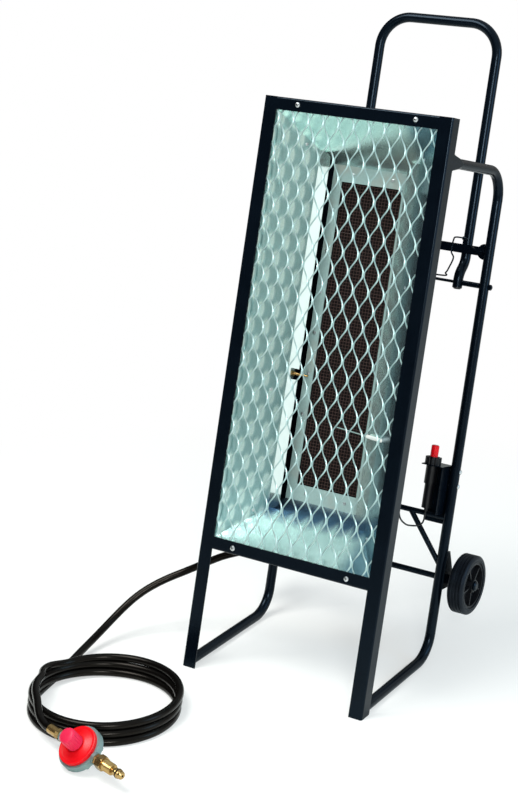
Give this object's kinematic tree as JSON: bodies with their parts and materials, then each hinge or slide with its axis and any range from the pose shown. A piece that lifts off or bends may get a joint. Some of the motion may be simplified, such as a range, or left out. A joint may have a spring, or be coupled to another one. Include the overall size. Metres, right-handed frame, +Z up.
{
  "type": "portable propane heater",
  "caption": "Tall portable infrared propane heater: guarded ceramic radiant panel on a black leaning stand with rear wheels, folding handle, igniter and a coiled hose with regulator.",
  "frame": {"origin": "on the ground, under the middle of the stand's bounding box without the hose and regulator", "axes": "+Z up, -Y the way the radiant panel faces, +X to the right as seen from the front"},
  "size_m": [0.6586, 1.0796, 1.261],
  "materials": {
    "black_frame": "satin",
    "reflector": "satin",
    "guard": "satin",
    "burner_steel": "satin",
    "plaque": "matte",
    "ceramic": "matte",
    "zinc": "satin",
    "bright_steel": "polished",
    "brass": "satin",
    "copper": "satin",
    "hose_rubber": "satin",
    "tyre_rubber": "matte",
    "wheel_plastic": "satin",
    "black_plastic": "gloss",
    "red_plastic": "gloss",
    "knob_plastic": "satin"
  },
  "bodies": {
    "stand": {"post_left": "black_frame", "post_right": "black_frame", "top_bar": "black_frame", "bottom_bar": "black_frame", "guard": "guard", "face_screws": "bright_steel", "reflector_left": "reflector", "reflector_right": "reflector", "reflector_top": "reflector", "reflector_bottom": "reflector", "rear_shield": "black_frame", "shield_screws": "bright_steel", "burner_frame": "burner_steel", "burner_screen": "burner_steel", "burner_plaques": "plaque", "burner_plenum": "burner_steel", "burner_screws": "bright_steel", "mixer_tube": "burner_steel", "orifice": "brass", "gas_valve": "zinc", "thermocouple": "brass", "thermocouple_lead": "copper", "electrode": "ceramic", "electrode_rod": "burner_steel", "ignition_lead": "hose_rubber", "loop_left": "black_frame", "loop_right": "black_frame", "cross_bar": "black_frame", "strap_ears": "black_frame", "axle_brackets": "black_frame", "axle": "bright_steel", "axle_caps": "bright_steel", "pivot_rod": "black_frame", "rod_nuts": "black_frame", "rod_spacers": "black_frame", "strap": "black_frame", "strap_bolts": "black_frame", "igniter_bracket": "black_frame", "bracket_screws": "bright_steel", "igniter_body": "black_plastic", "igniter_nut": "black_plastic", "inlet_nut": "brass", "hose_lead": "hose_rubber", "hose_coil": "hose_rubber", "hose_tail": "hose_rubber", "hose_fitting": "brass", "regulator_body": "zinc", "regulator_cap": "red_plastic", "pol_nipple": "brass"},
    "folding_handle": {"handle": "black_frame", "handle_plugs": "black_plastic"},
    "wheel_left": {"tyre_left": "tyre_rubber", "hub_left": "wheel_plastic"},
    "wheel_right": {"tyre_right": "tyre_rubber", "hub_right": "wheel_plastic"},
    "bail_wire": {"bail": "black_frame"},
    "igniter_push": {"igniter_button": "red_plastic"},
    "safety_push": {"valve_button": "red_plastic"},
    "adjuster": {"regulator_knob": "knob_plastic"},
    "cylinder_nut": {"pol_nut": "brass"}
  },
  "joints": [
    {"name": "handle_fold", "type": "hinge", "parent": "stand", "child": "folding_handle", "pos_m": [0, 0.16226, 0.74767], "axis": [-1, 0, 0], "range_deg": [0, 165]},
    {"name": "wheel_left_spin", "type": "hinge", "parent": "stand", "child": "wheel_left", "pos_m": [-0.24, 0.058, 0.15724], "axis": [1, 0, 0], "continuous": true},
    {"name": "wheel_right_spin", "type": "hinge", "parent": "stand", "child": "wheel_right", "pos_m": [0.24, 0.058, 0.15724], "axis": [1, 0, 0], "continuous": true},
    {"name": "bail_swing", "type": "hinge", "parent": "stand", "child": "bail_wire", "pos_m": [0, 0.18641, 0.83348], "axis": [-1, 0, 0], "range_deg": [0, 150]},
    {"name": "igniter_press", "type": "slide", "parent": "stand", "child": "igniter_push", "axis": [0, -0.2164, -0.9763], "range_m": [0, 0.009], "stiffness_N_per_m": 1200, "springref_m": -0.006},
    {"name": "safety_press", "type": "slide", "parent": "stand", "child": "safety_push", "axis": [0, -0.9763, 0.2164], "range_m": [0, 0.005], "stiffness_N_per_m": 1500, "springref_m": -0.003},
    {"name": "adjuster_turn", "type": "hinge", "parent": "stand", "child": "adjuster", "pos_m": [-0.13495, -0.74454, 0.04865], "axis": [-0.1879, -0.6147, 0.766], "range_deg": [0, 270]},
    {"name": "cylinder_nut_spin", "type": "hinge", "parent": "stand", "child": "cylinder_nut", "pos_m": [-0.06119, -0.75297, 0.03256], "axis": [0.9563, -0.2924, 0], "continuous": true}
  ]
}
